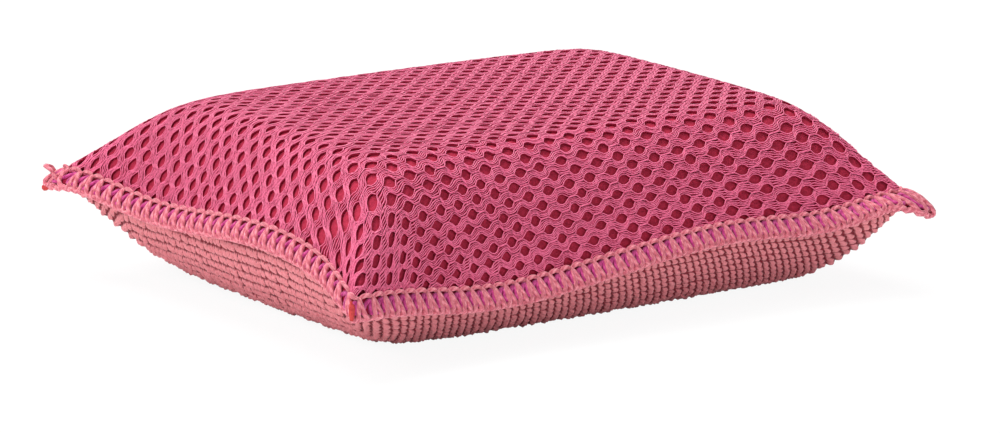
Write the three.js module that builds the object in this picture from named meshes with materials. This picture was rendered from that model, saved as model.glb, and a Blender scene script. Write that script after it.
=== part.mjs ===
import * as THREE from "three";

// Cleaning sponge: a soft foam block sewn between an open mesh cover on top and a
// ribbed microfibre cover below, with an overlocked seam all round.
// Millimetres, +Z up. The sponge lies on its belly at z = 0, its long sides run along X.
// Left is -X, right is +X, front is -Y and back is +Y.

// Needle line, the stitching line that joins the covers, corner to corner
const needleLength = 120;
const needleWidth = 99;
const leftPull = 4;
const rightPull = 1;
const frontPull = 3;
const backPull = 1;

// Height of the needle line above the table, and where it lifts, droops or waves
const seamHeight = 14.3;
const leftEarLift = 4;
const rightEarLift = 2.9;
const backEarLift = 1;
const leftSideLift = 5.5;
const frontWave = 1.1;

// Stuffed shape: how high the top stands over the seam and how wide its slopes are
const topRise = 18.5;
const topCrown = 0.8;
const leftSlope = 11;
const rightSlope = 8.5;
const frontSlope = 11;
const backSlope = 12.5;
const leftBelly = 15;
const rightBelly = 9;
const endBelly = 14;

// Covers and the clearance between pieces that touch
const clearance = 0.3;
const meshThickness = 1;
const microfibreThickness = 1.2;
const ribDepth = 0.7;
const ribFlat = 3.1;
const holeWidth = 6.6;
const holeHeight = 5.6;

// Seam allowance that hangs outside the needle line
const flangeWidth = 3.5;
const flangeDroop = 55;
const frontEarDroop = 15;
const leftEarRaise = 40;
const rightEarRaise = 35;
const backEarRaise = 15;
const earStretch = 1.3;

// Overlock threads
const threadRadius = 0.4;
const looperStart = 1.6;
const edgeWrap = 0.8;
const longSideStitches = 27;
const shortSideStitches = 21;

// Grid of the mesh cover: each hole takes two columns and one row
const columns = 16;
const rows = 14;
const ribs = 24;
const foamReach = 0.93;
const foamCornerCut = 0.15;
const foamEase = 0.5;

const halfGap = clearance / 2;
const halfLength = needleLength / 2;
const halfWidth = needleWidth / 2;
const bellyLevel = microfibreThickness + halfGap;

// Value that goes from low at t = -1 to high at t = 1
function across(t, low, high) {
  return low + ((high - low) * (t + 1)) / 2;
}

// Smooth hill around distance 0
function hill(distance, reach) {
  return Math.exp(-((distance / reach) ** 2));
}

// Height of the needle line, also used inside the outline as the level the covers leave from.
// The left side bulges up and drops into the front corner.
function seamLevel(u, v) {
  const ears =
    leftEarLift * hill(Math.hypot(u + 1, v - 1), 0.45) +
    rightEarLift * hill(Math.hypot(u - 1, v + 1), 0.28) +
    backEarLift * hill(Math.hypot(u - 1, v - 1), 0.42);
  const leftSide = leftSideLift * hill(u + 1, 0.35) * hill(v + 0.38, 0.8) * (1 - Math.exp(-(v + 1) / 0.12));
  const frontSide = frontWave * Math.sin(1.6 * Math.PI * u) * (1 - u ** 4) * hill(v + 1, 0.3);
  return seamHeight + ears + leftSide + frontSide;
}

// How far up the slope a place lies: 0 at the needle line, past 1 on the flat.
// The two slopes meet in a rounded hip that starts in the corner.
function slopeShare(u, v, left, right, front, back, sharpness) {
  const alongX = ((1 - Math.abs(u)) * halfLength) / across(u, left, right);
  const alongY = ((1 - Math.abs(v)) * halfWidth) / across(v, front, back);
  const lowX = Math.max(alongX, 1e-6);
  const lowY = Math.max(alongY, 1e-6);
  return (lowX ** -sharpness + lowY ** -sharpness) ** (-1 / sharpness);
}

// Straight slope that rounds over into the flat top
function shoulder(share) {
  const straight = 0.5;
  const round = 2 * (1 - straight);
  const t = Math.min(Math.max((share - straight) / round, 0), 1);
  return share < straight ? share : straight + round * (t - (t * t) / 2);
}

// Places on the two stuffed surfaces, u and v from -1 to 1 across the outline
function planX(u, v) {
  return u * (halfLength - across(u, leftPull, rightPull) * (1 - v ** 4));
}

function planY(u, v) {
  return v * (halfWidth - across(v, frontPull, backPull) * (1 - u ** 4));
}

function topSurface(u, v) {
  const share = shoulder(slopeShare(u, v, leftSlope, rightSlope, frontSlope, backSlope, 3.5));
  const crown = topCrown * (1 - u * u) * (1 - v * v);
  const z = seamLevel(u, v) * (1 - share) + (seamHeight + topRise) * share + crown;
  return new THREE.Vector3(planX(u, v), planY(u, v), z);
}

function bellySurface(u, v) {
  const share = Math.min(slopeShare(u, v, leftBelly, rightBelly, endBelly, endBelly, 2.2), 1);
  const round = 1 - (1 - share) ** 1.8;
  const z = seamLevel(u, v) * (1 - round) + bellyLevel * round;
  return new THREE.Vector3(planX(u, v), planY(u, v), z);
}

// Upward normal of a surface
function upwardNormal(surface, u, v) {
  const step = 0.01;
  const inside = (a) => Math.min(Math.max(a, -1), 1);
  const du = surface(inside(u + step), v).sub(surface(inside(u - step), v));
  const dv = surface(u, inside(v + step)).sub(surface(u, inside(v - step)));
  return du.cross(dv).normalize();
}

// Place offset from a surface along its upward normal
function offset(surface, u, v, distance) {
  return surface(u, v).addScaledVector(upwardNormal(surface, u, v), distance);
}

// The cloth is stretched over the slopes, so its even grid s, t sits closer there in plan
function clothToPlan(s, t) {
  const stretch = 0.2;
  const u = s * (1 + stretch * (1 - s * s) * (1 - t ** 4));
  const v = t * (1 + stretch * (1 - t * t) * (1 - s ** 4));
  return [u, v];
}

// One station on the needle line: its point, the way the seam allowance hangs and its outer face
function seamStation(s, t) {
  const out = new THREE.Vector3(Math.abs(s) === 1 ? s : 0, Math.abs(t) === 1 ? t : 0, 0);
  const corner = Math.abs(s) === 1 && Math.abs(t) === 1;
  const droop =
    flangeDroop +
    frontEarDroop * hill(Math.hypot(s + 1, t + 1), 0.3) -
    leftEarRaise * hill(Math.hypot(s + 1, t - 1), 0.3) -
    rightEarRaise * hill(Math.hypot(s - 1, t + 1), 0.25) -
    backEarRaise * hill(Math.hypot(s - 1, t - 1), 0.25);
  const angle = THREE.MathUtils.degToRad(droop);
  const up = new THREE.Vector3(0, 0, 1);
  out.normalize();
  return {
    point: topSurface(s, t),
    hang: out.clone().multiplyScalar(Math.cos(angle)).addScaledVector(up, -Math.sin(angle)),
    face: out.clone().multiplyScalar(Math.sin(angle)).addScaledVector(up, Math.cos(angle)),
    reach: corner ? earStretch : 1,
  };
}

// Point at a distance along the hang of the seam and a distance off its middle plane
function seamPoint(station, along, off) {
  return station.point
    .clone()
    .addScaledVector(station.hang, along * station.reach)
    .addScaledVector(station.face, off);
}

// Stations round the needle line, anticlockwise seen from above
const sideStarts = [0, columns, columns + rows, 2 * columns + rows];
const sideLengths = [columns, rows, columns, rows];
const stationCount = 2 * (columns + rows);
const stations = [];
for (let i = 0; i < columns; i++) stations.push(seamStation(-1 + (2 * i) / columns, -1));
for (let j = 0; j < rows; j++) stations.push(seamStation(1, -1 + (2 * j) / rows));
for (let i = 0; i < columns; i++) stations.push(seamStation(1 - (2 * i) / columns, 1));
for (let j = 0; j < rows; j++) stations.push(seamStation(-1, 1 - (2 * j) / rows));

// Point between two stations
function seamPointAt(place, along, off) {
  const index = Math.floor(place) % stationCount;
  const next = (index + 1) % stationCount;
  const start = seamPoint(stations[index], along, off);
  return start.lerp(seamPoint(stations[next], along, off), place - Math.floor(place));
}

function seamFaceAt(place) {
  const index = Math.floor(place) % stationCount;
  const next = (index + 1) % stationCount;
  return stations[index].face.clone().lerp(stations[next].face, place - Math.floor(place)).normalize();
}

// A sheet of cloth or a block as two like-numbered skins, one above the other
class Sheet {
  constructor() {
    this.upper = [];
    this.lower = [];
    this.faces = [];
  }

  add(upper, lower) {
    this.upper.push(upper);
    this.lower.push(lower);
    return this.upper.length - 1;
  }

  quad(a, b, c, d) {
    this.faces.push([a, b, c], [a, c, d]);
  }

  // Triangles between an outer and an inner run of points that both go the same way
  zip(outer, inner) {
    let i = 0;
    let j = 0;
    while (i < outer.length - 1 || j < inner.length - 1) {
      const nextOuter = (i + 1) / (outer.length - 1);
      const nextInner = (j + 1) / (inner.length - 1);
      if (j === inner.length - 1 || (i < outer.length - 1 && nextOuter <= nextInner)) {
        this.faces.push([outer[i], outer[i + 1], inner[j]]);
        i += 1;
      } else {
        this.faces.push([outer[i], inner[j + 1], inner[j]]);
        j += 1;
      }
    }
  }

  // Closed body: both skins and a wall along every free edge
  geometry() {
    const count = this.upper.length;
    const free = new Map();
    for (const [a, b, c] of this.faces) {
      for (const [from, to] of [[a, b], [b, c], [c, a]]) {
        if (!free.delete(`${to},${from}`)) free.set(`${from},${to}`, [from, to]);
      }
    }
    const index = [];
    for (const [a, b, c] of this.faces) index.push(a, b, c, c + count, b + count, a + count);
    for (const [a, b] of free.values()) index.push(b, a, a + count, b, a + count, b + count);
    return bodyGeometry([...this.upper, ...this.lower], index);
  }
}

function bodyGeometry(points, index) {
  const geometry = new THREE.BufferGeometry();
  const positions = points.flatMap((point) => [point.x, point.y, point.z]);
  geometry.setAttribute("position", new THREE.Float32BufferAttribute(positions, 3));
  geometry.setIndex(index);
  geometry.computeVertexNormals();
  return geometry;
}

// Seam allowance: a strip of the same sheet outside its rim
function addFlange(sheet, rim, upperOff, lowerOff) {
  const edge = stations.map((station) =>
    sheet.add(seamPoint(station, flangeWidth, upperOff), seamPoint(station, flangeWidth, lowerOff))
  );
  for (let k = 0; k < stationCount; k++) {
    const next = (k + 1) % stationCount;
    sheet.quad(rim[k], edge[k], edge[next], rim[next]);
  }
}

// Mesh cover: knitted mesh with staggered holes, stretched over the foam
function meshCoverGeometry() {
  const sheet = new Sheet();
  const outerOff = halfGap + meshThickness;
  const rim = stations.map((station) =>
    sheet.add(seamPoint(station, 0, outerOff), seamPoint(station, 0, halfGap))
  );
  const addCloth = (s, t) => {
    const [u, v] = clothToPlan(s, t);
    return sheet.add(offset(topSurface, u, v, outerOff), offset(topSurface, u, v, halfGap));
  };

  const grid = [];
  for (let j = 0; j <= rows; j++) {
    const line = [];
    for (let i = 0; i <= columns; i++) {
      if (j === 0) line.push(rim[i]);
      else if (j === rows) line.push(rim[sideStarts[2] + columns - i]);
      else if (i === columns) line.push(rim[sideStarts[1] + j]);
      else if (i === 0) line.push(rim[(sideStarts[3] + rows - j) % stationCount]);
      else line.push(addCloth(-1 + (2 * i) / columns, -1 + (2 * j) / rows));
    }
    grid.push(line);
  }
  grid[rows][0] = rim[sideStarts[3]];

  // A hexagonal hole in a cell that spans two columns
  const cornerAcross = (holeWidth / 2) / halfLength;
  const cornerAlong = (holeHeight / 4) / halfWidth;
  const tipAlong = (holeHeight / 2) / halfWidth;
  const addHole = (i, j) => {
    const s = -1 + (2 * (i + 1)) / columns;
    const t = -1 + (2 * (j + 0.5)) / rows;
    const around = [grid[j][i], grid[j][i + 1], grid[j][i + 2], grid[j + 1][i + 2], grid[j + 1][i + 1], grid[j + 1][i]];
    const hole = [
      addCloth(s - cornerAcross, t - cornerAlong),
      addCloth(s, t - tipAlong),
      addCloth(s + cornerAcross, t - cornerAlong),
      addCloth(s + cornerAcross, t + cornerAlong),
      addCloth(s, t + tipAlong),
      addCloth(s - cornerAcross, t + cornerAlong),
    ];
    for (let k = 0; k < 6; k++) {
      const next = (k + 1) % 6;
      sheet.quad(around[k], around[next], hole[next], hole[k]);
    }
  };

  for (let j = 0; j < rows; j++) {
    const stagger = j % 2;
    for (let i = stagger; i + 2 <= columns; i += 2) addHole(i, j);
    if (stagger) {
      for (const i of [0, columns - 1]) sheet.quad(grid[j][i], grid[j][i + 1], grid[j + 1][i + 1], grid[j + 1][i]);
    }
  }
  addFlange(sheet, rim, outerOff, halfGap);
  return sheet.geometry();
}

// Microfibre cover: ribbed pile knit, its ribs running from front to back.
// At the rim it folds from the belly into the seam allowance, which takes more depth.
function microfibreCoverGeometry() {
  const sheet = new Sheet();
  const foldDepth = 1.9;
  const outerOff = halfGap + microfibreThickness;
  const dropped = (station, depth) => station.point.clone().add(new THREE.Vector3(0, 0, -depth * foldDepth));
  const rim = stations.map((station) => sheet.add(dropped(station, halfGap), dropped(station, outerOff)));

  // Each rib is a flat crest and a groove
  const ribPitch = needleLength / ribs;
  const crestShare = ribFlat / ribPitch;
  const ribColumns = [];
  for (let rib = 0; rib < ribs; rib++) {
    const start = -1 + (2 * (rib + (1 - crestShare) / 2)) / ribs;
    ribColumns.push({ s: start, off: outerOff });
    ribColumns.push({ s: start + (2 * crestShare) / ribs, off: outerOff });
    if (rib < ribs - 1) ribColumns.push({ s: -1 + (2 * (rib + 1)) / ribs, off: outerOff - ribDepth });
  }
  const grid = [];
  for (let j = 1; j < rows; j += 2) {
    const t = -1 + (2 * j) / rows;
    grid.push(
      ribColumns.map(({ s, off }) => {
        const [u, v] = clothToPlan(s, t);
        return sheet.add(offset(bellySurface, u, v, -halfGap), offset(bellySurface, u, v, -off));
      })
    );
  }
  for (let j = 0; j + 1 < grid.length; j++) {
    for (let i = 0; i + 1 < ribColumns.length; i++) {
      sheet.quad(grid[j][i], grid[j][i + 1], grid[j + 1][i + 1], grid[j + 1][i]);
    }
  }

  const last = ribColumns.length - 1;
  const innerSides = [
    grid[0],
    grid.map((line) => line[last]),
    [...grid[grid.length - 1]].reverse(),
    grid.map((line) => line[0]).reverse(),
  ];
  innerSides.forEach((inner, side) => {
    const outer = [];
    for (let k = 0; k <= sideLengths[side]; k++) outer.push(rim[(sideStarts[side] + k) % stationCount]);
    sheet.zip(outer, inner);
  });
  addFlange(sheet, rim, -halfGap, -outerOff);
  return sheet.geometry();
}

// Foam block: fills the covers up to a short way inside the seam
function foamGeometry() {
  const sheet = new Sheet();
  const inset = halfGap + foamEase;
  const grid = [];
  for (let j = 1; j < rows; j += 2) {
    const line = [];
    for (let i = 0; i <= columns; i++) {
      const edge = (value) => Math.min(Math.max(value, -foamReach), foamReach);
      const s = edge(-1 + (2 * i) / columns);
      const t = j === 1 ? -foamReach : j === rows - 1 ? foamReach : -1 + (2 * j) / rows;
      const cut = 1 - foamCornerCut * (s * t) ** 8;
      const [u, v] = clothToPlan(s * cut, t * cut);
      line.push(sheet.add(offset(topSurface, u, v, -inset), offset(bellySurface, u, v, inset)));
    }
    grid.push(line);
  }
  for (let j = 0; j + 1 < grid.length; j++) {
    for (let i = 0; i < columns; i++) sheet.quad(grid[j][i], grid[j][i + 1], grid[j + 1][i + 1], grid[j + 1][i]);
  }
  return sheet.geometry();
}

// Thread: a four-sided tube along a closed run of points, each with its upward direction
function threadGeometry(run) {
  const points = [];
  const index = [];
  run.forEach(({ point, up }, k) => {
    const before = run[(k + run.length - 1) % run.length].point;
    const after = run[(k + 1) % run.length].point;
    const toHere = point.clone().sub(before).normalize();
    const onward = after.clone().sub(point).normalize();
    const tangent = toHere.clone().add(onward).normalize();
    const sideways = tangent.clone().cross(up).normalize();
    const raised = sideways.clone().cross(tangent);
    const mitre = Math.min(1 / Math.max(tangent.dot(onward), 0.1), 1.7);
    for (const [a, b] of [[mitre, 0], [0, 1], [-mitre, 0], [0, -1]]) {
      points.push(
        point
          .clone()
          .addScaledVector(sideways, a * threadRadius)
          .addScaledVector(raised, b * threadRadius)
      );
    }
    const ring = 4 * k;
    const nextRing = 4 * ((k + 1) % run.length);
    for (let n = 0; n < 4; n++) {
      const m = (n + 1) % 4;
      index.push(ring + n, nextRing + n, nextRing + m, ring + n, nextRing + m, ring + m);
    }
  });
  return bodyGeometry(points, index);
}

// Stitches round the seam. Each goes through the places it is given, as
// [share of the stitch, distance along the hang, distance off the middle plane].
function stitchRun(places) {
  const run = [];
  for (let side = 0; side < 4; side++) {
    const stitches = side % 2 === 0 ? longSideStitches : shortSideStitches;
    for (let stitch = 0; stitch < stitches; stitch++) {
      for (const [share, along, off] of places) {
        const place = sideStarts[side] + (sideLengths[side] * (stitch + share)) / stitches;
        run.push({ point: seamPointAt(place, along, off), up: seamFaceAt(place) });
      }
    }
  }
  return threadGeometry(run);
}

const overCovers = halfGap + meshThickness + clearance + threadRadius;
const pastEdge = flangeWidth + clearance + threadRadius;

const group = new THREE.Group();

function addPiece(name, geometry, color, roughness) {
  const material = new THREE.MeshStandardMaterial({ color, roughness, metalness: 0 });
  const mesh = new THREE.Mesh(geometry, material);
  mesh.name = name;
  group.add(mesh);
}

addPiece("foam_core", foamGeometry(), 0xb02c48, 0.95);
addPiece("mesh_cover", meshCoverGeometry(), 0xd4457e, 0.8);
addPiece("microfibre_cover", microfibreCoverGeometry(), 0xd77882, 1);
addPiece("needle_thread", stitchRun([[0, 0, overCovers]]), 0xeb8296, 0.7);
addPiece(
  "upper_looper_thread",
  stitchRun([[0, looperStart, overCovers], [0.5, flangeWidth, overCovers]]),
  0xeb8296,
  0.7
);
addPiece(
  "lower_looper_thread",
  stitchRun([[0, pastEdge, -edgeWrap], [0.5, pastEdge, edgeWrap]]),
  0xc83ca0,
  0.8
);

export default group;
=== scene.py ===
import bpy
import numpy as np
from mathutils import Matrix


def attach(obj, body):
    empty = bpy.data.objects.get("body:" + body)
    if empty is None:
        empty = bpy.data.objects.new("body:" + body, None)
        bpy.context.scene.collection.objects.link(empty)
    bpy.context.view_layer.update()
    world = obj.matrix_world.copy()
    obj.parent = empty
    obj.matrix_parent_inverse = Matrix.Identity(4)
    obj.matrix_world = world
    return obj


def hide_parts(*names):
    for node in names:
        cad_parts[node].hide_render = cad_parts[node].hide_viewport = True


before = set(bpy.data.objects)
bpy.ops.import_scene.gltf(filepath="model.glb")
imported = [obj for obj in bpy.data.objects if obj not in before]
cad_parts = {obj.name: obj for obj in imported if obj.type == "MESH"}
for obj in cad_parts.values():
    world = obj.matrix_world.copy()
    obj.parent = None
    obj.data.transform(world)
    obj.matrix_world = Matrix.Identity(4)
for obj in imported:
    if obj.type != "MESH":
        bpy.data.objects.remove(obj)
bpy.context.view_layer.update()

# The camera stands in front of the sponge, turned towards its left corner and a little above
# it, with a long lens. Lengths in this file are millimetres until a mesh or lamp is made.
MM = 0.001
turn = np.radians(34.5)
climb = np.radians(13.0)
camera_distance = 926.0
aim_height = 17.0
aim_right = 3.43
aim_down = 5.19
look_right = np.array([np.cos(turn), -np.sin(turn), 0.0])
look_back = np.array([-np.sin(turn) * np.cos(climb), -np.cos(turn) * np.cos(climb), np.sin(climb)])
look_up = np.cross(look_back, look_right)
aim = np.array([0.0, 0.0, aim_height]) + aim_right * look_right - aim_down * look_up
stand = aim + look_back * camera_distance
camera_data = bpy.data.cameras.new("camera")
camera_data.lens = 180
camera_data.sensor_width = 36
camera_data.clip_start = 0.05
camera_data.clip_end = 50
camera = bpy.data.objects.new("camera", camera_data)
bpy.context.scene.collection.objects.link(camera)
camera_axes = np.eye(4)
camera_axes[:3, 0] = look_right
camera_axes[:3, 1] = look_up
camera_axes[:3, 2] = look_back
camera_axes[:3, 3] = stand * MM
camera.matrix_world = Matrix(camera_axes.tolist())
bpy.context.scene.camera = camera
bpy.context.scene.view_settings.view_transform = "Standard"

# The table is a plain white sheet that keeps a faint shadow, in a white room. Three soft
# lamps light the sponge: a large one overhead, one from the left front and a weak one
# from the right front.


def colour(red, green, blue):
    """Linear colour with alpha from the 0 to 255 values that a screen shows."""
    values = np.array([red, green, blue]) / 255
    linear = np.where(values <= 0.04045, values / 12.92, ((values + 0.055) / 1.055) ** 2.4)
    return (*linear, 1.0)


def add_node(material, kind, inputs=None, **settings):
    """A shader node with its settings and inputs. An input is a value or another node's output."""
    tree = material.node_tree
    node = tree.nodes.new(kind)
    for name, value in settings.items():
        setattr(node, name, value)
    for name, value in (inputs or {}).items():
        if isinstance(value, bpy.types.NodeSocket):
            tree.links.new(value, node.inputs[name])
        else:
            node.inputs[name].default_value = value
    return node


white = (1, 1, 1, 1)
table_colour = colour(250, 250, 250)
shadow_share = 0.08
table_reach = 6.0
table_corners = [
    (-table_reach, -table_reach, 0),
    (table_reach, -table_reach, 0),
    (table_reach, table_reach, 0),
    (-table_reach, table_reach, 0),
]
table_mesh = bpy.data.meshes.new("table_sheet")
table_mesh.from_pydata(table_corners, [], [(0, 1, 2, 3)])
table = bpy.data.objects.new("table_sheet", table_mesh)
bpy.context.scene.collection.objects.link(table)
table_paper = bpy.data.materials.new("table_paper")
table_paper.use_nodes = True
table_paper.node_tree.nodes.clear()
paper = add_node(table_paper, "ShaderNodeBsdfDiffuse", {"Color": table_colour})
glow = add_node(table_paper, "ShaderNodeEmission", {"Color": white, "Strength": 1.0})
seen = add_node(table_paper, "ShaderNodeLightPath")
glow_share = add_node(
    table_paper,
    "ShaderNodeMath",
    {0: seen.outputs["Is Camera Ray"], 1: 1 - shadow_share},
    operation="MULTIPLY",
)
mixed = add_node(
    table_paper, "ShaderNodeMixShader", {0: glow_share.outputs[0], 1: paper.outputs[0], 2: glow.outputs[0]}
)
add_node(table_paper, "ShaderNodeOutputMaterial", {"Surface": mixed.outputs[0]})
table_mesh.materials.append(table_paper)

room_strength = 0.5
room = bpy.data.worlds.new("room")
room.use_nodes = True
room.node_tree.nodes.clear()
room_light = add_node(room, "ShaderNodeBackground", {"Color": white, "Strength": room_strength})
room_seen = add_node(room, "ShaderNodeBackground", {"Color": white, "Strength": 1.0})
path = add_node(room, "ShaderNodeLightPath")
shown = add_node(
    room,
    "ShaderNodeMath",
    {0: path.outputs["Is Camera Ray"], 1: path.outputs["Is Glossy Ray"]},
    operation="MAXIMUM",
)
shown = add_node(
    room, "ShaderNodeMath", {0: shown.outputs[0], 1: path.outputs["Is Transmission Ray"]}, operation="MAXIMUM"
)
room_mix = add_node(
    room, "ShaderNodeMixShader", {0: shown.outputs[0], 1: room_light.outputs[0], 2: room_seen.outputs[0]}
)
add_node(room, "ShaderNodeOutputWorld", {"Surface": room_mix.outputs[0]})
bpy.context.scene.world = room


def soft_lamp(name, place, size, power):
    """A square lamp that faces the sponge. Its place and size are in metres, its power in watts."""
    data = bpy.data.lights.new(name, "AREA")
    data.size = size
    data.energy = power
    lamp = bpy.data.objects.new(name, data)
    bpy.context.scene.collection.objects.link(lamp)
    place = np.array(place)
    back = place / np.linalg.norm(place)
    side = np.cross([0.0, 1.0, 0.0], back)
    side /= np.linalg.norm(side)
    axes = np.eye(4)
    axes[:3, 0] = side
    axes[:3, 1] = np.cross(back, side)
    axes[:3, 2] = back
    axes[:3, 3] = place
    lamp.matrix_world = Matrix(axes.tolist())


soft_lamp("overhead_lamp", place=(0.0, 0.5, 1.1), size=0.9, power=17)
soft_lamp("left_front_lamp", place=(-1.1, -0.05, 0.95), size=0.7, power=11)
soft_lamp("right_front_lamp", place=(0.45, -1.2, 0.06), size=0.5, power=2.6)

# Foam core: a block of red open-cell foam that fills the two covers. It is cut to shape,
# slipped in before the seam is closed, and shows as a red ground through the holes of the
# mesh cover. The stuffed shape of the whole sponge is set here, because the foam gives it.
half_length = 60.0
half_width = 49.5
seam_height = 14.3
top_rise = 18.5
crown_height = 0.8
belly_level = 1.35
left_ear_lift = 4.0
right_ear_lift = 2.9
back_ear_lift = 1.0
left_bulge = 5.5
front_wave_height = 1.1
front_sag = 2.7
front_swell = 0.7
left_pull_in = 4.0
right_pull_in = 1.0
front_pull_in = 3.0
back_pull_in = 1.0
slope_stretch = 0.2


def across(t, low, high):
    """Value that goes from low at t = -1 to high at t = 1."""
    return low + (high - low) * (t + 1) / 2


def hill(distance, reach):
    """Smooth hill around distance 0."""
    return np.exp(-((distance / reach) ** 2))


def seam_level(u, v):
    """Height of the needle line: its lifted ears, the left side's bulge and the front's wave."""
    ears = left_ear_lift * hill(np.hypot(u + 1, v - 1), 0.45)
    ears = ears + right_ear_lift * hill(np.hypot(u - 1, v + 1), 0.28)
    ears = ears + back_ear_lift * hill(np.hypot(u - 1, v - 1), 0.42)
    left_side = left_bulge * hill(u + 1, 0.35) * hill(v + 0.38, 0.8) * (1 - np.exp(-(v + 1) / 0.12))
    front_wave = front_wave_height * np.sin(1.6 * np.pi * u)
    front_wave = front_wave - front_sag * hill(u + 0.65, 0.38) + front_swell * hill(u - 0.5, 0.28)
    front_side = front_wave * (1 - u**4) * hill(v + 1, 0.3)
    return seam_height + ears + left_side + front_side


def slope_share(u, v, left, right, front, back, sharpness):
    """How far up the slopes, given by their widths, a place lies: 0 at the seam, past 1 on the flat."""
    along_x = np.maximum((1 - np.abs(u)) * half_length / across(u, left, right), 1e-6)
    along_y = np.maximum((1 - np.abs(v)) * half_width / across(v, front, back), 1e-6)
    return (along_x**-sharpness + along_y**-sharpness) ** (-1 / sharpness)


def in_plan(u, v):
    """Plan place: the sides pull in between the corners."""
    x = u * (half_length - across(u, left_pull_in, right_pull_in) * (1 - v**4))
    y = v * (half_width - across(v, front_pull_in, back_pull_in) * (1 - u**4))
    return x, y


def top_surface(u, v):
    """Stuffed top: straight slopes that round over into a flat top."""
    straight = slope_share(u, v, left=11.0, right=8.5, front=11.0, back=12.5, sharpness=3.5)
    t = np.clip(straight - 0.5, 0, 1)
    share = np.where(straight < 0.5, straight, 0.5 + t - t * t / 2)
    crown = crown_height * (1 - u * u) * (1 - v * v)
    z = seam_level(u, v) * (1 - share) + (seam_height + top_rise) * share + crown
    return np.stack([*in_plan(u, v), z], -1)


def belly_surface(u, v):
    """Stuffed belly, flat where it lies on the table."""
    steep = slope_share(u, v, left=15.0, right=9.0, front=14.0, back=14.0, sharpness=2.2)
    share = np.minimum(steep, 1)
    turned = 1 - (1 - share) ** 1.8
    z = seam_level(u, v) * (1 - turned) + belly_level * turned
    return np.stack([*in_plan(u, v), z], -1)


def cloth_to_plan(s, t):
    """The cloth is stretched over the slopes, so its even grid sits closer there in plan."""
    u = s * (1 + slope_stretch * (1 - s * s) * (1 - t**4))
    v = t * (1 + slope_stretch * (1 - t * t) * (1 - s**4))
    return u, v


def unit(vectors):
    """Vectors of length 1."""
    return vectors / np.maximum(np.linalg.norm(vectors, axis=-1, keepdims=True), 1e-9)


def upward_normal(surface, u, v):
    """Upward normal of a stuffed surface."""
    step = 0.01
    along_u = surface(np.clip(u + step, -1, 1), v) - surface(np.clip(u - step, -1, 1), v)
    along_v = surface(u, np.clip(v + step, -1, 1)) - surface(u, np.clip(v - step, -1, 1))
    return unit(np.cross(along_u, along_v))


def on_cloth(surface, s, t, offset):
    """Place on a stuffed surface at cloth coordinates, offset along its upward normal."""
    u, v = cloth_to_plan(s, t)
    offset = np.broadcast_to(offset, np.shape(u))
    return surface(u, v) + upward_normal(surface, u, v) * offset[..., None]


def grid_quads(rows, columns, start=0, flipped=False):
    """Faces of a grid of points that is stored row by row."""
    first = start + (np.arange(rows - 1)[:, None] * columns + np.arange(columns - 1)[None, :]).ravel()
    quads = np.stack([first, first + 1, first + columns + 1, first + columns], 1)
    return quads[:, ::-1] if flipped else quads


def border(rows, columns, start):
    """Point numbers round the edge of a grid, anticlockwise seen from above."""
    number = start + np.arange(rows * columns).reshape(rows, columns)
    return np.concatenate([number[0, :-1], number[:-1, -1], number[-1, :0:-1], number[:0:-1, 0]])


def make_piece(name, points, faces, material, uv=None):
    """An object from points in millimetres, without those no face uses, on the sponge's one body."""
    used, renumbered = np.unique(np.concatenate([group.ravel() for group in faces]), return_inverse=True)
    splits = np.cumsum([group.size for group in faces])[:-1]
    faces = [part.reshape(group.shape) for part, group in zip(np.split(renumbered, splits), faces)]
    points = points[used]
    uv = None if uv is None else uv[used]
    mesh = bpy.data.meshes.new(name)
    mesh.from_pydata((points * MM).tolist(), [], [face for group in faces for face in group.tolist()])
    if uv is not None:
        layer = mesh.uv_layers.new(name="cloth")
        corner_points = np.zeros(len(mesh.loops), dtype=np.int32)
        mesh.loops.foreach_get("vertex_index", corner_points)
        layer.data.foreach_set("uv", uv[corner_points].astype(np.float32).ravel())
    mesh.materials.append(material)
    mesh.validate()
    mesh.shade_smooth()
    piece = bpy.data.objects.new(name, mesh)
    bpy.context.scene.collection.objects.link(piece)
    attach(piece, "root")
    return piece


def new_material(name, base, roughness, sheen=0.0, specular=0.35):
    """A material with its main shader, which add_node then dresses."""
    material = bpy.data.materials.new(name)
    material.use_nodes = True
    material.node_tree.nodes.clear()
    shader = add_node(
        material,
        "ShaderNodeBsdfPrincipled",
        {"Base Color": base, "Roughness": roughness, "Sheen Weight": sheen, "Specular IOR Level": specular},
    )
    add_node(material, "ShaderNodeOutputMaterial", {"Surface": shader.outputs[0]})
    return material, shader


def spread_colour(material, factor, dark, light):
    """A colour between dark and light."""
    node = add_node(material, "ShaderNodeMix", {0: factor, 6: dark, 7: light}, data_type="RGBA")
    return node.outputs[2]


def noise(material, scale, detail=3.0, roughness=0.6):
    """Noise in object space, with its scale in cells per metre."""
    place = add_node(material, "ShaderNodeTexCoord")
    node = add_node(
        material,
        "ShaderNodeTexNoise",
        {"Vector": place.outputs["Object"], "Scale": scale, "Detail": detail, "Roughness": roughness},
    )
    return node.outputs["Fac"]


def math(material, operation, first, second=0.0):
    """One sum in a material."""
    node = add_node(material, "ShaderNodeMath", {0: first, 1: second}, operation=operation)
    return node.outputs[0]


def add_bump(material, shader, height, depth, strength=1.0):
    """Relief on a shader, with its depth in millimetres."""
    node = add_node(
        material, "ShaderNodeBump", {"Height": height, "Distance": depth * MM, "Strength": strength}
    )
    material.node_tree.links.new(node.outputs[0], shader.inputs["Normal"])


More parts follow.
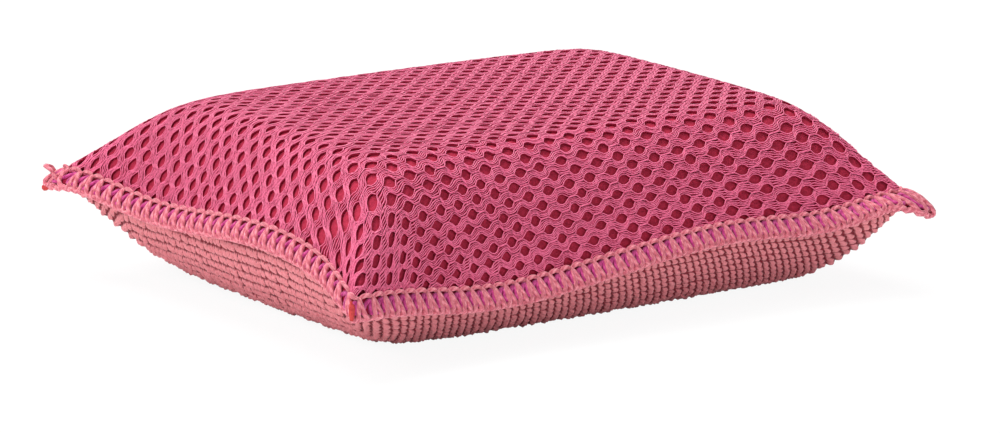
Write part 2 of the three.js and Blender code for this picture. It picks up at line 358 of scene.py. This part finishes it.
foam_grid = 72
foam_reach = 0.985
foam_top_level = 0.29
foam_belly_level = 0.1
foam_line = np.linspace(-foam_reach, foam_reach, foam_grid)
foam_t, foam_s = np.meshgrid(foam_line, foam_line, indexing="ij")
foam_top = on_cloth(top_surface, foam_s, foam_t, foam_top_level)
foam_bottom = on_cloth(belly_surface, foam_s, foam_t, foam_belly_level)
foam_points = np.concatenate([foam_top.reshape(-1, 3), foam_bottom.reshape(-1, 3)])
top_rim = border(foam_grid, foam_grid, 0)
bottom_rim = border(foam_grid, foam_grid, foam_grid * foam_grid)
foam_faces = [
    grid_quads(foam_grid, foam_grid),
    grid_quads(foam_grid, foam_grid, foam_grid * foam_grid, flipped=True),
    np.stack([top_rim, bottom_rim, np.roll(bottom_rim, -1), np.roll(top_rim, -1)], 1),
]
foam_red, foam_shader = new_material("red_foam", colour(166, 38, 62), 0.95, specular=0.15)
foam_cells = noise(foam_red, 1400, 2.0)
foam_tint = spread_colour(foam_red, foam_cells, colour(122, 20, 42), colour(196, 54, 82))
foam_red.node_tree.links.new(foam_tint, foam_shader.inputs["Base Color"])
add_bump(foam_red, foam_shader, foam_cells, 0.3)
foam = make_piece("foam_block", foam_points, foam_faces, foam_red)
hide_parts("foam_core")

# Mesh cover: an open warp-knitted net of pink polyester, pulled over the top of the foam. Each
# band between two rows of holes is five fine strands on a ground painted dark pink as the shade
# in the gaps between the strands, and the bands meet between the holes. The net lies a little
# askew, and its edge is caught in the seam.
row_height = 2.2
mean_pitch = 5.05
pitch_growth = 0.0042
hole_half_length = 0.25
hole_half_height = 0.44
stations = 237
strand_shares = (0.05, 0.28, 0.5, 0.72, 0.95)
strand_radius = 0.12
strand_level = 0.78
ground_low = 0.3
ground_high = 0.6
ground_margin = 0.03
knit_random = np.random.default_rng(7)
knit_table = (128, 64)


def cloth_lengths(points):
    """Lengths over a grid of points from its middle lines, along its columns and its rows."""
    lengths = []
    for axis in (1, 0):
        steps = np.linalg.norm(np.diff(points, axis=axis), axis=-1)
        total = np.insert(np.cumsum(steps, axis=axis), 0, 0, axis=axis)
        lengths.append(total - np.take(total, [points.shape[axis] // 2], axis=axis))
    return lengths


def past(distance, rounding=4.0):
    """Distance past a ridge, starting softly."""
    beyond = np.maximum(distance, 0)
    return beyond * beyond / (beyond + rounding)


held_ridge = 0.86
front_ridge = 0.76
left_ridge = 0.78
right_ridge = 0.72
row_skew = 6.8
row_bow = 9.0
front_row_bow = -2.0
left_row_pull = 0.55
left_row_growth = 0.014
fan_middle = 0.12
fan_growth = 0.5
fan_least = -0.4
fan_most = 0.32
left_column_pull = 0.07
right_column_pull = 0.05
corner_pull = 5.0
corner_pull_start = -0.55
line_v = np.linspace(-1, 1, 261)
even_u = np.linspace(-1, 1, 401)
middle_line = top_surface(even_u, np.zeros_like(even_u))
middle_length = np.insert(np.cumsum(np.linalg.norm(np.diff(middle_line, axis=0), axis=1)), 0, 0)
line_u = np.interp(np.linspace(0, middle_length[-1], stations), middle_length, even_u)
grid_v, grid_u = np.meshgrid(line_v, line_u, indexing="ij")
along_x, along_y = cloth_lengths(top_surface(grid_u, grid_v))
ridge_station = np.argmin(np.abs(line_u + held_ridge))
held = np.clip(np.arange(stations), ridge_station, stations - 1 - ridge_station)
along_y = along_y[:, held]
front_drop = past(along_y[[np.argmin(np.abs(line_v + front_ridge))]] - along_y)
left_drop = past(along_x[:, [np.argmin(np.abs(line_u + left_ridge))]] - along_x)
right_drop = past(along_x - along_x[:, [np.argmin(np.abs(line_u - right_ridge))]])
flat = 1 - hill(grid_v + 1, 0.35)
left_pull = left_drop * (1 - hill(grid_v + 1, 0.7))
bow = row_bow * flat + front_row_bow * (1 - flat)
rise = row_skew * grid_u + grid_u**2 * bow - left_row_pull * left_pull
row_count = (along_y - rise) / (row_height * (1 + left_row_growth * left_drop))
fan = np.clip(fan_middle + fan_growth * grid_u, fan_least, fan_most)
spread = along_x + fan * front_drop
column_count = np.log(np.maximum(1 + pitch_growth * spread, 0.1)) / (pitch_growth * mean_pitch)
corner_drag = corner_pull * np.maximum(corner_pull_start - grid_u, 0) ** 2 * hill(grid_v + 1, 0.3)
column_count = column_count + left_column_pull * left_drop + right_column_pull * right_drop + corner_drag


def row_place(numbers):
    """Plan coordinate v of row lines at each station. Past the seam it stays on the seam."""
    place = np.empty(numbers.shape)
    for station in range(stations):
        place[:, station] = np.interp(numbers[:, station], row_count[:, station], line_v)
    return place


first_row = int(np.floor(row_count[0].min()))
last_row = int(np.ceil(row_count[-1].max()))
rows_here = np.arange(first_row, last_row + 1)
row_lines = row_place(np.repeat(rows_here[:, None].astype(float), stations, axis=1))
columns_here = np.empty(row_lines.shape)
for station in range(stations):
    columns_here[:, station] = np.interp(row_lines[:, station], line_v, column_count[:, station])
hole_place = columns_here + 0.5 * (rows_here[:, None] % 2)
nearest_hole = np.rint(hole_place).astype(int)
hole_size = 1 + 0.08 * knit_random.uniform(-1, 1, knit_table)[rows_here[:, None], nearest_hole]
hole_shift = 0.04 * knit_random.uniform(-1, 1, knit_table)[rows_here[:, None], nearest_hole]
from_hole = np.abs(hole_place - nearest_hole - hole_shift) / hole_half_length
hole_edge = hole_half_height * hole_size * np.clip(1 - from_hole**2, 0, 1) ** 0.5
band_low = rows_here[:-1, None] + hole_edge[:-1]
band_high = rows_here[1:, None] - hole_edge[1:]


def closed_ribbons(corners_by_ribbon, keep=None):
    """Points and faces of ribbons given as (ribbon, step, corner, xyz), capped unless cut by keep."""
    count, steps, sides, _ = corners_by_ribbon.shape
    step = np.arange(steps - 1)[:, None]
    side = np.arange(sides)[None, :]
    near = (step * sides + side).ravel()
    near_next = (step * sides + (side + 1) % sides).ravel()
    one = np.stack([near, near_next, near_next + sides, near + sides], 1)
    starts = np.arange(count) * steps * sides
    walls = starts[:, None, None] + one[None]
    if keep is not None:
        return corners_by_ribbon.reshape(-1, 3), [walls[np.repeat(keep, sides, axis=1)]]
    cap = np.arange(sides)
    first_caps = starts[:, None] + cap[None, ::-1]
    last_caps = starts[:, None] + (steps - 1) * sides + cap[None, :]
    return corners_by_ribbon.reshape(-1, 3), [walls.reshape(-1, 4), first_caps, last_caps]


def on_top(v, level):
    """Places on the stuffed top at every station of lines, at a level over it, and the way up."""
    u = np.broadcast_to(line_u, v.shape)
    up = upward_normal(top_surface, u, v)
    return top_surface(u, v) + up * np.broadcast_to(level, v.shape)[..., None], up


low_v = row_place(band_low + ground_margin)
high_v = row_place(band_high - ground_margin)
section = [(low_v, ground_low), (high_v, ground_low), (high_v, ground_high), (low_v, ground_high)]
ribbons = np.stack([on_top(v, level)[0] for v, level in section], 2)
width_v = high_v - low_v
keep_ground = np.maximum(width_v[:, 1:], width_v[:, :-1]) > 1e-4
ground_points, ground_faces = closed_ribbons(ribbons, keep_ground)
# Painted shade: the ground's dark pink stands for the shade in the gaps between the strands.
ground_pink_painted_shade, ground_shader = new_material("knit_ground", colour(140, 20, 52), 0.8, specular=0.2)
ground_cells = noise(ground_pink_painted_shade, 2600, 3.0)
ground_shade_tint = spread_colour(ground_pink_painted_shade, ground_cells, colour(90, 6, 28), colour(190, 24, 66))
ground_pink_painted_shade.node_tree.links.new(ground_shade_tint, ground_shader.inputs["Base Color"])
add_bump(ground_pink_painted_shade, ground_shader, ground_cells, 0.12)
mesh_ground = make_piece("mesh_cover_ground", ground_points, ground_faces, ground_pink_painted_shade)
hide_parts("mesh_cover")

strand_sides = 3
strand_angles = 2 * np.pi * (np.arange(strand_sides) + 0.25) / strand_sides
strand_pink, strand_shader = new_material(
    "knit_strands", colour(232, 60, 108), 0.45, sheen=0.04, specular=0.4
)
strand_patches = noise(strand_pink, 3200, 2.0, 0.7)
strand_tint = spread_colour(strand_pink, strand_patches, colour(166, 16, 60), colour(255, 122, 168))
strand_pink.node_tree.links.new(strand_tint, strand_shader.inputs["Base Color"])
add_bump(strand_pink, strand_shader, strand_patches, 0.1)
shares = np.array(strand_shares)[None, :, None]
strand_rows = (band_low[:, None] + shares * (band_high - band_low)[:, None]).reshape(-1, stations)
strand_v = row_place(strand_rows)
strand_count = len(strand_rows)
strand_wave = 0.05 * np.sin(columns_here[0][None, :] * 40 + 2.1 * np.arange(strand_count)[:, None])
level = strand_level + 0.05 * knit_random.uniform(-1, 1, (strand_count, 1)) + strand_wave
middle, up = on_top(strand_v, level)
forward = unit(np.gradient(middle, axis=1))
side = unit(np.cross(forward, up))
wide = strand_radius * (1 + 0.15 * knit_random.uniform(-1, 1, (strand_count, 1, 1, 1)))
ring = (
    np.cos(strand_angles)[None, None, :, None] * side[:, :, None, :]
    + np.sin(strand_angles)[None, None, :, None] * up[:, :, None, :]
)
strands = middle[:, :, None, :] + ring * wide
inside = np.abs(strand_v) < 0.9999
keep_strand = inside[:, 1:] | inside[:, :-1]
half = strand_count // 2
strand_halves = {
    "mesh_cover_strands_front": slice(0, half),
    "mesh_cover_strands_back": slice(half, None),
}
for name, part in strand_halves.items():
    strand_points, strand_faces = closed_ribbons(strands[part], keep_strand[part])
    piece = make_piece(name, strand_points, strand_faces, strand_pink)
    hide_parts("mesh_cover")

# Microfibre cover: ribbed terry-like cloth of pale rose microfibre under the sponge and up
# its sides to the seam. It is knitted in ribs of small looped beads that lie like scales,
# and it is stretched and pulled askew where it climbs the sides.
rib_pitch = 1.55
bead_pitch = 1.37
side_stretch = 1.5
front_stretch = 1.12
side_climb = 19.0
front_rib_lean = 0.36
left_bead_lean = 0.24
skin_columns = 301
skin_rows = 281
bead_relief = 0.8
skin_level = 0.7
inner_level = 0.2
scale_crest = 0.62
ribs_in_table = 97
beads_in_table = 101
skin_random = np.random.default_rng(11)

skin_t, skin_s = np.meshgrid(np.linspace(-1, 1, skin_rows), np.linspace(-1, 1, skin_columns), indexing="ij")
under_x, under_y = cloth_lengths(belly_surface(*cloth_to_plan(skin_s, skin_t)))
rim_rows = skin_rows // 8
rim_columns = skin_columns // 8
inner_row = np.clip(np.arange(skin_rows), rim_rows, skin_rows - 1 - rim_rows)
inner_column = np.clip(np.arange(skin_columns), rim_columns, skin_columns - 1 - rim_columns)
under_x = under_x[inner_row]
under_y = under_y[:, inner_column]
left_climb = past(side_climb - (under_x - under_x[:, [0]]))
right_climb = past(side_climb - (under_x[:, [-1]] - under_x))
front_climb = past(side_climb - (under_y - under_y[[0]]))
back_climb = past(side_climb - (under_y[[-1]] - under_y))
side_spare = 1 - 1 / side_stretch
front_spare = 1 - 1 / front_stretch
rib_at = (under_x + side_spare * (left_climb - right_climb)) / rib_pitch
rib_at = rib_at + front_rib_lean * (front_climb - back_climb)
bead_at = (under_y + front_spare * (front_climb - back_climb)) / bead_pitch + left_bead_lean * left_climb
bead_at = bead_at + 0.2 * np.sin(7 * skin_s + 2 * skin_t)
rib_at = rib_at + 0.1 * np.sin(9 * skin_t + 3 * skin_s) + 0.12 * np.cos(2 * np.pi * bead_at)
rib_share = np.mod(rib_at, 1)
bead_share = np.mod(bead_at, 1)
rib_number = np.floor(rib_at).astype(int) % ribs_in_table
bead_number = np.floor(bead_at).astype(int) % beads_in_table
size_table = 1 + 0.3 * skin_random.uniform(-1, 1, (ribs_in_table, beads_in_table))
bead_size = size_table[rib_number, bead_number]
scale_rise = np.where(
    bead_share < scale_crest,
    bead_share / scale_crest,
    (1 - bead_share) / (1 - scale_crest),
)
across_rib = np.sin(np.pi * rib_share) ** 0.8
bead_height = across_rib * np.sin(np.pi / 2 * scale_rise) ** 0.8
skin_outer = on_cloth(belly_surface, skin_s, skin_t, -(skin_level + bead_relief * bead_height * bead_size))
coarse = 4
inner_s = skin_s[::coarse, ::coarse]
inner_t = skin_t[::coarse, ::coarse]
inner_rows, inner_columns = inner_s.shape
skin_inner = on_cloth(belly_surface, inner_s, inner_t, -inner_level)
skin_points = np.concatenate([skin_outer.reshape(-1, 3), skin_inner.reshape(-1, 3)])
skin_points[:, 2] = np.maximum(skin_points[:, 2], 0.0)
inner_start = skin_rows * skin_columns
skin_faces = [
    grid_quads(skin_rows, skin_columns, flipped=True),
    grid_quads(inner_rows, inner_columns, inner_start),
]
outer_ring = border(skin_rows, skin_columns, 0)
inner_ring = border(inner_rows, inner_columns, inner_start)
fine = outer_ring.reshape(-1, coarse)
fine_next = np.roll(outer_ring, -coarse).reshape(-1, coarse)[:, 0]
inner_next = np.roll(inner_ring, -1)
fans = []
for step in range(coarse):
    end = fine[:, step + 1] if step + 1 < coarse else fine_next
    hub = inner_ring if step < coarse // 2 else inner_next
    fans.append(np.stack([hub, fine[:, step], end], 1))
fans.append(np.stack([inner_ring, fine[:, coarse // 2], inner_next], 1))
skin_faces.append(np.concatenate(fans))
bead_places = np.stack([rib_at, bead_at], -1)
skin_uv = np.concatenate([bead_places.reshape(-1, 2), bead_places[::coarse, ::coarse].reshape(-1, 2)])

microfibre, microfibre_shader = new_material(
    "rose_microfibre", colour(214, 112, 124), 0.85, sheen=0.15, specular=0.2
)
knit_place = add_node(microfibre, "ShaderNodeUVMap", uv_map="cloth")
knit_split = add_node(microfibre, "ShaderNodeSeparateXYZ", {0: knit_place.outputs[0]})


def off_middle(material, count, middle):
    """Distance from the middle of a rib or bead, 0 to about 1, from its running count."""
    share = math(material, "FRACT", count)
    distance = math(material, "ABSOLUTE", math(material, "SUBTRACT", share, middle))
    return math(material, "MULTIPLY", distance, 2.0)


off_rib = math(microfibre, "POWER", off_middle(microfibre, knit_split.outputs[0], 0.5), 3.0)
off_bead = math(microfibre, "POWER", off_middle(microfibre, knit_split.outputs[1], 0.56), 3.0)
low_bead = math(microfibre, "MULTIPLY", off_bead, 0.6)
off_scale = math(microfibre, "SQRT", math(microfibre, "ADD", off_rib, low_bead))
fluff = noise(microfibre, 2200, 4.0, 0.7)
uneven_scale = math(microfibre, "ADD", off_scale, math(microfibre, "MULTIPLY", fluff, 0.4))
# Painted shade: the grooves between the ribs and beads are coloured dark, like the shade in those crevices.
# The same mask also sinks them in the bump.
groove_depth_and_shade = add_node(
    microfibre,
    "ShaderNodeMapRange",
    {"Value": uneven_scale, "From Min": 0.66, "From Max": 1.08},
    interpolation_type="SMOOTHSTEP",
)
bead_tint = spread_colour(microfibre, fluff, colour(200, 90, 102), colour(255, 172, 178))
# The bead colour darkens to a deep red in the grooves, which is painted shade.
bead_tint_and_groove_shade = spread_colour(microfibre, groove_depth_and_shade.outputs[0], bead_tint, colour(126, 26, 42))
microfibre.node_tree.links.new(bead_tint_and_groove_shade, microfibre_shader.inputs["Base Color"])
add_bump(microfibre, microfibre_shader, math(microfibre, "SUBTRACT", fluff, groove_depth_and_shade.outputs[0]), 0.25)
skin = make_piece("microfibre_cover_cloth", skin_points, skin_faces, microfibre, skin_uv)
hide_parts("microfibre_cover")

# Seam allowance: both covers reach past the needle line in a narrow double flange that the
# overlock thread wraps. It droops, less at the left corner, and makes a longer ear at the
# right corner that curls down. Droops are in degrees, curls in radians a millimetre.
flange_width = 2.9
corner_reach = 5.0
middle_droop = 55
front_corner_droop = 15
left_corner_droop = -20
right_corner_droop = -45
back_corner_droop = -15
front_narrowing = 0.15
side_lengths = np.array([120.0, 99.0, 120.0, 99.0])
corner_marks = np.array([[-1, -1], [1, -1], [1, 1], [-1, 1]])
ear_stretch = np.array([1.0, 1.9, 1.05, 1.35])
ear_curl = np.array([0.0, 0.13, 0.0, 0.0])


def band_frame(round_place):
    """Needle point, way out, droop, reach and curl at places round the sponge, counted in sides."""
    side = np.floor(round_place).astype(int) % 4
    share = np.mod(round_place, 1.0)
    start = corner_marks[side]
    mark = start + (corner_marks[(side + 1) % 4] - start) * share[..., None]
    s = mark[..., 0]
    t = mark[..., 1]
    before = share * side_lengths[side]
    after = (1 - share) * side_lengths[side]
    corner = np.where(before < after, side, (side + 1) % 4)
    near = np.clip(1 - np.minimum(before, after) / corner_reach, 0, 1)
    near = near * near * (3 - 2 * near)
    heading = (side - 1) * np.pi / 2 + np.where(before < after, -1, 1) * np.pi / 4 * near
    out = np.stack([np.cos(heading), np.sin(heading), np.zeros_like(heading)], -1)
    droop = (
        middle_droop
        + front_corner_droop * hill(np.hypot(s + 1, t + 1), 0.3)
        + left_corner_droop * hill(np.hypot(s + 1, t - 1), 0.3)
        + right_corner_droop * hill(np.hypot(s - 1, t + 1), 0.25)
        + back_corner_droop * hill(np.hypot(s - 1, t - 1), 0.25)
    )
    reach = 1 + (ear_stretch[corner] - 1) * near - front_narrowing * hill(s - 0.4, 0.4) * hill(t + 1, 0.1)
    return top_surface(s, t), out, np.radians(droop), reach, ear_curl[corner] * near


def on_band(round_place, along, off):
    """Place on the flange: along its hang from the needle line, and off its middle plane."""
    round_place, along, off = np.broadcast_arrays(round_place, along, off)
    point, out, droop, reach, curl = band_frame(round_place)
    curl = np.maximum(curl, 1e-5)
    length = along * reach
    angle = droop + curl * np.maximum(length, 0)
    outward = np.where(length > 0, (np.sin(angle) - np.sin(droop)) / curl, np.cos(droop) * length)
    downward = np.where(length > 0, (np.cos(droop) - np.cos(angle)) / curl, np.sin(droop) * length)
    up = np.array([0.0, 0.0, 1.0])
    face = np.sin(angle)[..., None] * out + np.cos(angle)[..., None] * up
    return point + out * outward[..., None] - up * downward[..., None] + face * off[..., None]


def flange_section(start, low, high):
    """Corners of a flange's section: places along its hang, and off its middle plane."""
    bend = 1.5
    lower = [(start, low), (bend, low), (flange_width, low)]
    upper = [(flange_width, high), (bend, high), (start, high)]
    return lower + upper


flange_steps = 440
ribs_per_side = 60
beads_per_mm = 0.7
flange_places = np.linspace(0, 4, flange_steps, endpoint=False)
flanges = {
    # The mesh flange takes the same dark pink, which is painted shade of the mesh under the stitches.
    "mesh_cover_flange": (flange_section(-0.3, 0.1, 0.7), ground_pink_painted_shade, "mesh"),
    "microfibre_cover_flange": (flange_section(0.0, -0.9, -0.1), microfibre, "microfibre"),
}
for name, (section, material, slot) in flanges.items():
    along = np.array([corner[0] for corner in section])
    off = np.array([corner[1] for corner in section])
    rings = on_band(flange_places[:, None], along[None, :], off[None, :])
    sides = len(section)
    near = (np.arange(flange_steps)[:, None] * sides + np.arange(sides)[None, :]).ravel()
    near_next = (np.arange(flange_steps)[:, None] * sides + (np.arange(sides)[None, :] + 1) % sides).ravel()
    total = flange_steps * sides
    flange_faces = [np.stack([near, (near + sides) % total, (near_next + sides) % total, near_next], 1)]
    rib_places = np.repeat(flange_places * ribs_per_side, sides)
    flange_uv = np.stack([rib_places, np.tile(along * beads_per_mm, flange_steps)], -1)
    piece = make_piece(name, rings.reshape(-1, 3), flange_faces, material, flange_uv)
    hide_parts(slot + "_cover")

# Overlock threads: a needle thread along the needle line, a salmon looper yarn in pairs of
# legs over the flange with a chain along its edge, and a magenta yarn under it. A machine
# sews them in one pass all round.
long_stitches = 50
short_stitches = 32
hole_places = []
for side, count in enumerate([long_stitches, short_stitches, long_stitches, short_stitches]):
    hole_places.extend(side + (np.arange(count) + 0.5) / count)
hole_places = np.array(hole_places)
stitch_count = len(hole_places)
hole_index = np.arange(-1, stitch_count + 2)
hole_round = np.concatenate([[hole_places[-1] - 4], hole_places, [hole_places[0] + 4, hole_places[1] + 4]])
thread_random = np.random.default_rng(23)


def on_stitch(index, along, off):
    """Place on the flange, with the stitch count round the sponge in place of the side."""
    wrapped = np.mod(index, stitch_count)
    return on_band(np.mod(np.interp(wrapped, hole_index, hole_round), 4), along, off)


def smooth_path(points, widths, steps):
    """Rounded curve through points, with its width at each place."""
    before = np.vstack([points[:1], points[:-1]])
    after = np.vstack([points[1:], points[-1:]])
    slope = (after - before) / 2
    t = (np.arange(steps) / steps)[None, :, None]
    start = points[:-1, None]
    end = points[1:, None]
    curve = (
        start * (2 * t**3 - 3 * t**2 + 1)
        + slope[:-1, None] * (t**3 - 2 * t**2 + t)
        + end * (3 * t**2 - 2 * t**3)
        + slope[1:, None] * (t**3 - t**2)
    )
    width = widths[:-1, None] * (1 - t[..., 0]) + widths[1:, None] * t[..., 0]
    return np.vstack([curve.reshape(-1, 3), points[-1:]]), np.append(width.ravel(), widths[-1])


def yarn(path, widths, sides=8):
    """Tube along a path: its rings turn as little as they can. Returns rings and lengths."""
    forward = unit(np.gradient(path, axis=0))
    side = unit(np.cross(forward[0], [0.3, 0.5, 0.8]))
    sideways = np.empty_like(path)
    for step, ahead in enumerate(forward):
        side = side - ahead * np.dot(side, ahead)
        side = side / np.linalg.norm(side)
        sideways[step] = side
    upward = np.cross(forward, sideways)
    angles = 2 * np.pi * np.arange(sides) / sides
    rings = (
        np.cos(angles)[None, :, None] * sideways[:, None, :]
        + np.sin(angles)[None, :, None] * upward[:, None, :]
    )
    lengths = np.concatenate([[0], np.cumsum(np.linalg.norm(np.diff(path, axis=0), axis=1))])
    return path[:, None, :] + rings * widths[:, None, None], lengths


def yarn_piece(name, parts, material, node, sides=8):
    """One object from several yarn tubes, each given as a path and its widths."""
    points = []
    faces = []
    uvs = []
    start = 0
    for path, widths in parts:
        rings, lengths = yarn(path, widths, sides)
        one_points, one_faces = closed_ribbons(rings[None])
        points.append(one_points)
        faces.extend(group + start for group in one_faces)
        around = np.tile(np.arange(sides) / sides, len(lengths))
        uvs.append(np.stack([np.repeat(lengths, sides), around], -1))
        start += len(one_points)
    piece = make_piece(name, np.concatenate(points), faces, material, np.concatenate(uvs))
    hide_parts(node)


def yarn_material(name, dark, middle, light):
    """Fluffy spun yarn: a soft twist and short fibres that lie along it."""
    twist_pitch = 1.6
    material, shader = new_material(name, middle, 0.8, sheen=0.2, specular=0.2)
    place = add_node(material, "ShaderNodeUVMap", uv_map="cloth")
    split = add_node(material, "ShaderNodeSeparateXYZ", {0: place.outputs[0]})
    turned = math(
        material,
        "ADD",
        math(material, "MULTIPLY", split.outputs[0], 2 * np.pi / twist_pitch),
        math(material, "MULTIPLY", split.outputs[1], 4 * np.pi),
    )
    plies = math(material, "ADD", math(material, "MULTIPLY", math(material, "SINE", turned), 0.5), 0.5)
    lie = add_node(material, "ShaderNodeMapping", {0: place.outputs[0], "Scale": (0.9, 7.0, 1.0)})
    streaks = add_node(
        material,
        "ShaderNodeTexNoise",
        {"Vector": lie.outputs[0], "Scale": 1.6, "Detail": 4.0, "Roughness": 0.7},
    )
    fibres = math(
        material,
        "ADD",
        math(material, "MULTIPLY", streaks.outputs["Fac"], 0.55),
        math(material, "MULTIPLY", noise(material, 2400, 3.0, 0.7), 0.3),
    )
    blended = math(material, "ADD", fibres, math(material, "MULTIPLY", plies, 0.15))
    ramp = add_node(material, "ShaderNodeValToRGB", {0: blended})
    ramp.color_ramp.elements[0].color = dark
    ramp.color_ramp.elements[0].position = 0.32
    ramp.color_ramp.elements[1].color = light
    ramp.color_ramp.elements[1].position = 0.72
    ramp.color_ramp.elements.new(0.52).color = middle
    material.node_tree.links.new(ramp.outputs[0], shader.inputs["Base Color"])
    add_bump(material, shader, blended, 0.35)
    return material


salmon = yarn_material("salmon_yarn", colour(168, 66, 82), colour(220, 116, 132), colour(250, 174, 182))
magenta = yarn_material("magenta_yarn", colour(140, 28, 84), colour(198, 58, 132), colour(226, 104, 164))

arches = []
for stitch in range(stitch_count):
    index = stitch + np.array([0.02, 0.1, 0.3, 0.5, 0.7, 0.9, 0.98])
    along = np.array([0.15, 0.0, -0.2, -0.25, -0.2, 0.0, 0.15])
    off = np.array([0.5, 0.9, 1.15, 1.25, 1.15, 0.9, 0.5])
    widths = np.array([0.26, 0.34, 0.4, 0.42, 0.4, 0.34, 0.26]) * (1 + 0.12 * thread_random.uniform(-1, 1))
    arches.append(smooth_path(on_stitch(index, along, off), widths, 3))
yarn_piece("needle_stitches", arches, salmon, "needle_thread")

leg_index = []
leg_along = []
leg_off = []
leg_width = []
for stitch in range(stitch_count):
    jitter = 0.05 * thread_random.uniform(-1, 1)
    places = [0.0, 0.12, 0.28, 0.45, 0.6 + jitter, 0.8, 0.95 + jitter, 0.97, 0.98, 0.99]
    leg_index.extend(stitch + np.array(places))
    leg_along.extend([0.0, 1.0, 2.3, 3.3, 3.7, 3.7, 3.3, 2.3, 1.0, 0.3])
    leg_off.extend([0.95, 1.15, 1.15, 0.95, 0.4, 0.4, 0.95, 1.15, 1.15, 1.05])
    leg_width.extend([0.34, 0.44, 0.48, 0.46, 0.4, 0.4, 0.46, 0.48, 0.44, 0.36])
leg_path = on_stitch(np.array(leg_index), np.array(leg_along), np.array(leg_off))
legs = smooth_path(leg_path, np.array(leg_width), 2)
quarter_index = np.arange(0, stitch_count + 0.01, 0.25)
chain_turn = 2 * np.pi * quarter_index * 2
chain_along = 3.45 + 0.12 * np.sin(chain_turn + 0.5)
chain_off = 0.35 * np.cos(chain_turn)
chain_fluff = 0.04 * thread_random.uniform(-1, 1, len(quarter_index))
chain_width = 0.62 + 0.12 * np.sin(chain_turn) + chain_fluff
chain = smooth_path(on_stitch(quarter_index, chain_along, chain_off), chain_width, 2)
yarn_piece("upper_looper_yarn", [legs, chain], salmon, "upper_looper_thread")

fill_index = []
fill_along = []
for stitch in range(stitch_count):
    fill_index.extend(stitch + np.array([0.2, 0.3, 0.62, 0.82, 0.76, 0.76]))
    fill_along.extend([2.9, 1.9, 0.7, 0.7, 1.9, 2.8])
fill_index = np.array(fill_index)
over = smooth_path(on_stitch(fill_index, np.array(fill_along), 0.85), np.full(len(fill_index), 0.4), 2)
swing = np.mod(np.arange(len(quarter_index)), 2)
under_along = np.where(swing > 0, 2.3, 0.9)
under = smooth_path(on_stitch(quarter_index, under_along, -1.1), np.full(len(quarter_index), 0.3), 4)
yarn_piece("lower_looper_yarn", [over, under], magenta, "lower_looper_thread")

# Loose ends: a loop of looper yarn stands off the left corner, and the cut edge of the mesh
# cover frays out red at the left and front corners. All are short pieces of yarn that start
# and end in the seam, and nothing else holds them.
left_corner = 2 * long_stitches + short_stitches - 0.5
tail_index = left_corner + np.array([-0.7, -0.6, -0.5, 0.0, 0.5, 0.6, 0.7])
tail_along = np.array([2.6, 2.5, 2.3, 2.1, 2.3, 2.5, 2.8])
tail_off = np.array([0.8, 1.9, 2.9, 3.3, 2.9, 1.9, 0.8])
tail = smooth_path(on_stitch(tail_index, tail_along, tail_off), np.full(len(tail_index), 0.4), 6)
yarn_piece("thread_tail", [tail], salmon, "upper_looper_thread")

frayed, frayed_shader = new_material("frayed_edge", colour(196, 52, 62), 0.9, specular=0.1)
frayed_lumps = noise(frayed, 1500, 3.0)
frayed_tint = spread_colour(frayed, frayed_lumps, colour(132, 24, 36), colour(226, 88, 84))
frayed.node_tree.links.new(frayed_tint, frayed_shader.inputs["Base Color"])
add_bump(frayed, frayed_shader, frayed_lumps, 0.4)
front_corner = -0.5
cut_edges = [
    (front_corner + np.array([-0.1, 0.0, 0.05, 0.1]), [0.8, 1.8, 2.8, 3.8], 1.2, [0.3, 0.55, 0.5, 0.25]),
    (left_corner + np.array([-0.25, 0.0, 0.25]), [3.6, 3.9, 3.6], 0.0, [0.4, 0.7, 0.4]),
    (left_corner + np.array([-1.3, -1.1, -0.9]), [3.6, 3.8, 3.6], 0.4, [0.3, 0.5, 0.3]),
]
cut_ends = []
for index, along, off, widths in cut_edges:
    cut_ends.append(smooth_path(on_stitch(index, np.array(along), off), np.array(widths), 6))
yarn_piece("frayed_mesh_edge", cut_ends, frayed, "mesh_cover")
